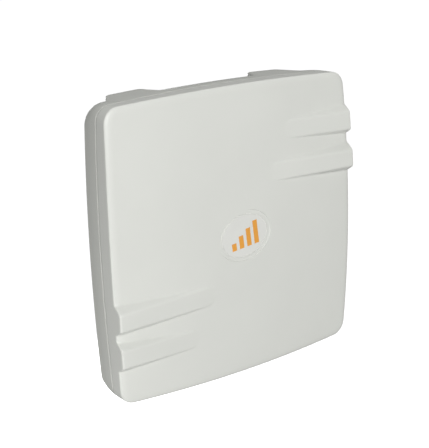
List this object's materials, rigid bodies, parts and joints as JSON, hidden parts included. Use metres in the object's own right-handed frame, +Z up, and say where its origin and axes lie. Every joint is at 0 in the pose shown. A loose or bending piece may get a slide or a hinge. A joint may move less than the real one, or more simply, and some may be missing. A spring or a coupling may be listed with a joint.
{
  "type": "flat panel antenna",
  "caption": "Square domed flat-panel antenna in a sealed two-shell plastic housing, with a rear coaxial socket and a tilting U-bolt mast mount.",
  "frame": {"origin": "on the mast's axis, at the height of the panel's middle", "axes": "+Z up the mast; -Y out of the panel's domed front at zero tilt; +X to the right seen from the front"},
  "size_m": [0.27, 0.1714, 0.27],
  "materials": {
    "cover_plastic": "satin moulded, very fine texture",
    "housing_plastic": "satin moulded, very fine texture",
    "seal_rubber": "matt moulded",
    "stainless_steel": "machined",
    "label_film": "satin printed film",
    "emblem_ink": "printed ink",
    "sheet_aluminium": "rolled sheet",
    "circuit_laminate": "glass-fibre laminate",
    "copper_foil": "etched copper foil",
    "nylon": "moulded nylon",
    "copper_jacket": "bare copper jacket",
    "nickel_plate": "nickel plated brass",
    "ptfe": "machined",
    "gold_plate": "gold plated",
    "brass": "knurled brass",
    "zinc_steel": "hot-dip galvanised",
    "zinc_bolt": "zinc plated",
    "cast_aluminium": "die cast"
  },
  "bodies": {
    "mast_mount": {"mast_bracket": "zinc_steel", "mast_saddle": "cast_aluminium", "pivot_bolt": "zinc_bolt", "pivot_nut": "zinc_bolt", "pivot_washers": "zinc_bolt", "lock_bolt": "zinc_bolt", "lock_nut": "zinc_bolt", "lock_washers": "zinc_bolt", "u_bolt_nuts": "zinc_bolt", "u_bolt_spring_washers": "zinc_bolt", "u_bolt_washers": "zinc_bolt"},
    "panel": {"front_cover": "cover_plastic", "rear_housing": "housing_plastic", "cover_gasket": "seal_rubber", "cover_screws": "stainless_steel", "badge_disc": "label_film", "badge_emblem": "emblem_ink", "reflector_plate": "sheet_aluminium", "reflector_screws": "stainless_steel", "patch_board": "circuit_laminate", "patch_elements": "copper_foil", "feed_network": "copper_foil", "board_spacers": "nylon", "board_screws": "nylon", "coax_pigtail": "copper_jacket", "socket_body": "nickel_plate", "socket_insulator": "ptfe", "socket_contact": "gold_plate", "socket_oring": "seal_rubber", "socket_lock_washer": "nickel_plate", "socket_nut": "nickel_plate", "bracket_inserts": "brass", "panel_bracket": "zinc_steel", "bracket_screws": "stainless_steel", "bracket_washers": "stainless_steel"},
    "clamp": {"u_bolt": "zinc_bolt"}
  },
  "joints": [
    {"name": "tilt", "type": "hinge", "parent": "mast_mount", "child": "panel", "pos_m": [0, -0.07, 0], "axis": [1, 0, 0], "range_deg": [-20, 20]},
    {"name": "clamp_slide", "type": "slide", "parent": "mast_mount", "child": "clamp", "axis": [0, 1, 0], "range_m": [0, 0.012]}
  ]
}
